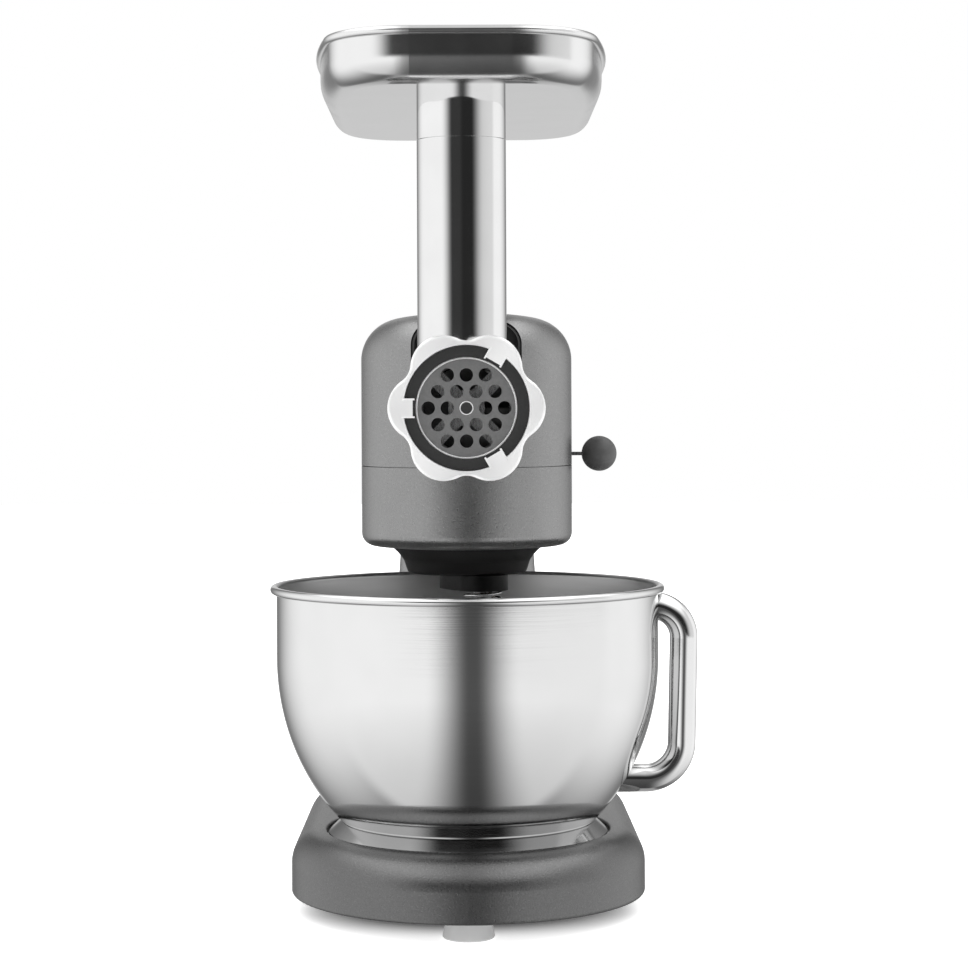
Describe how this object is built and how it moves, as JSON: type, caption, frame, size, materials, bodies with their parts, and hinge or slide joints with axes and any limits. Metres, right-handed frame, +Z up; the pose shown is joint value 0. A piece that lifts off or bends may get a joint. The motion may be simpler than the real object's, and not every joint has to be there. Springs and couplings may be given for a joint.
{
  "type": "stand mixer with meat grinder",
  "caption": "Tilt-head stand mixer with a bowl, driving a meat grinder with feed tube and tray from the power hub in its nose.",
  "frame": {"origin": "centre of the front foot's sole, on the floor", "axes": "+Z up, -Y towards the grinder's nut at the front, +X towards the bowl handle and the speed lever"},
  "size_m": [0.2448, 0.406, 0.4823],
  "materials": {
    "grey_paint": "fine-textured satin paint",
    "black_plastic": "matte",
    "zinc_steel": "zinc plated",
    "foot_rubber": "matte",
    "polished_steel": "polished",
    "bowl_steel": "satin brushed",
    "shaft_steel": "ground",
    "gear_steel": "machined",
    "cast_aluminium": "as cast",
    "bush_bronze": "sintered",
    "core_iron": "laminated",
    "knob_plastic": "matte",
    "lever_steel": "satin",
    "board_plastic": "matte",
    "nut_aluminium": "matte bright",
    "plate_steel": "satin",
    "auger_aluminium": "satin"
  },
  "bodies": {
    "stand": {"base_stand": "grey_paint", "column_casting": "grey_paint", "base_cover": "black_plastic", "base_cover_screws": "zinc_steel", "rubber_feet": "foot_rubber", "bowl_seat_plate": "polished_steel", "seat_plate_screws": "zinc_steel", "hinge_pin": "shaft_steel", "cord_gland": "black_plastic", "head_rest_pad": "foot_rubber"},
    "bowl": {"mixing_bowl": "bowl_steel", "bowl_foot_ring": "polished_steel", "bowl_handle": "polished_steel"},
    "head": {"head_lower_housing": "grey_paint", "head_upper_cover": "grey_paint", "cover_screws": "zinc_steel", "port_liner": "black_plastic", "hub_housing": "cast_aluminium", "hub_bush": "bush_bronze", "planetary_skirt": "black_plastic", "ring_gear": "gear_steel", "gearbox_plate": "cast_aluminium", "gear_bridge": "zinc_steel", "planetary_bearing": "shaft_steel", "layshaft_bearings": "shaft_steel", "motor_can": "zinc_steel", "motor_stator": "core_iron", "motor_bearings": "shaft_steel", "drive_belt": "foot_rubber", "speed_switch": "black_plastic", "control_board": "board_plastic"},
    "speed_lever": {"speed_lever_arm": "lever_steel", "speed_knob": "knob_plastic"},
    "planetary": {"planetary_carrier": "cast_aluminium", "planetary_shaft": "shaft_steel", "main_gear": "gear_steel", "drive_bevel_gear": "gear_steel", "beater_bushes": "bush_bronze"},
    "beater": {"beater_shaft": "shaft_steel", "planet_pinion": "gear_steel", "beater_pin": "shaft_steel", "beater_spring": "shaft_steel"},
    "countershaft": {"layshaft": "shaft_steel", "layshaft_pinion": "gear_steel", "driven_pulley": "cast_aluminium"},
    "rotor": {"motor_shaft": "shaft_steel", "rotor_core": "core_iron", "motor_fan": "black_plastic", "motor_pulley": "cast_aluminium"},
    "power_shaft": {"hub_shaft": "shaft_steel", "hub_bevel_gear": "gear_steel"},
    "grinder": {"grinder_body": "polished_steel", "grinding_plate": "plate_steel", "auger_bush": "bush_bronze", "clamp_ring": "plate_steel"},
    "auger": {"feed_auger": "auger_aluminium", "cutting_knife": "plate_steel"},
    "nut": {"ring_nut": "nut_aluminium"},
    "tray": {"feed_tray": "polished_steel"},
    "button": {"release_button": "knob_plastic"}
  },
  "joints": [
    {"name": "head_tilt", "type": "hinge", "parent": "stand", "child": "head", "pos_m": [0, 0.257, 0.192], "axis": [-1, 0, 0], "range_deg": [0, 30]},
    {"name": "bowl_twist", "type": "hinge", "parent": "stand", "child": "bowl", "pos_m": [0, 0.077, 0.05], "axis": [0, 0, -1], "range_deg": [0, 40]},
    {"name": "release_press", "type": "slide", "parent": "stand", "child": "button", "axis": [-1, 0, 0], "range_m": [0, 0.004], "stiffness_N_per_m": 800},
    {"name": "speed_set", "type": "hinge", "parent": "head", "child": "speed_lever", "pos_m": [0.022, 0.097, 0.2603], "axis": [0, 0, 1], "range_deg": [-26, 26]},
    {"name": "planetary_spin", "type": "hinge", "parent": "head", "child": "planetary", "pos_m": [0, 0.077, 0.2], "axis": [0, 0, 1], "continuous": true},
    {"name": "beater_spin", "type": "hinge", "parent": "planetary", "child": "beater", "pos_m": [0.00871, 0.05789, 0.2], "axis": [0, 0, 1], "continuous": true},
    {"name": "countershaft_spin", "type": "hinge", "parent": "head", "child": "countershaft", "pos_m": [0, 0.12875, 0.27], "axis": [0, 0, 1], "continuous": true},
    {"name": "rotor_spin", "type": "hinge", "parent": "head", "child": "rotor", "pos_m": [0, 0.202, 0.27], "axis": [0, 0, 1], "continuous": true},
    {"name": "power_shaft_spin", "type": "hinge", "parent": "head", "child": "power_shaft", "pos_m": [0, 0.037, 0.287], "axis": [0, 1, 0], "continuous": true},
    {"name": "grinder_pull", "type": "slide", "parent": "head", "child": "grinder", "axis": [0, -1, 0], "range_m": [0, 0.06]},
    {"name": "auger_spin", "type": "hinge", "parent": "grinder", "child": "auger", "pos_m": [0, -0.013, 0.287], "axis": [0, 1, 0], "continuous": true},
    {"name": "nut_turn", "type": "hinge", "parent": "grinder", "child": "nut", "pos_m": [0, -0.053, 0.287], "axis": [0, -1, 0], "range_deg": [0, 360]},
    {"name": "tray_lift", "type": "slide", "parent": "grinder", "child": "tray", "axis": [0, 0, 1], "range_m": [0, 0.06]}
  ],
  "couplings": [
    {"joint": "beater_spin", "follows": "planetary_spin", "ratio": -3.3333},
    {"joint": "countershaft_spin", "follows": "planetary_spin", "ratio": -4.75},
    {"joint": "rotor_spin", "follows": "planetary_spin", "ratio": -23.75},
    {"joint": "power_shaft_spin", "follows": "planetary_spin", "ratio": -1},
    {"joint": "auger_spin", "follows": "planetary_spin", "ratio": -1}
  ]
}
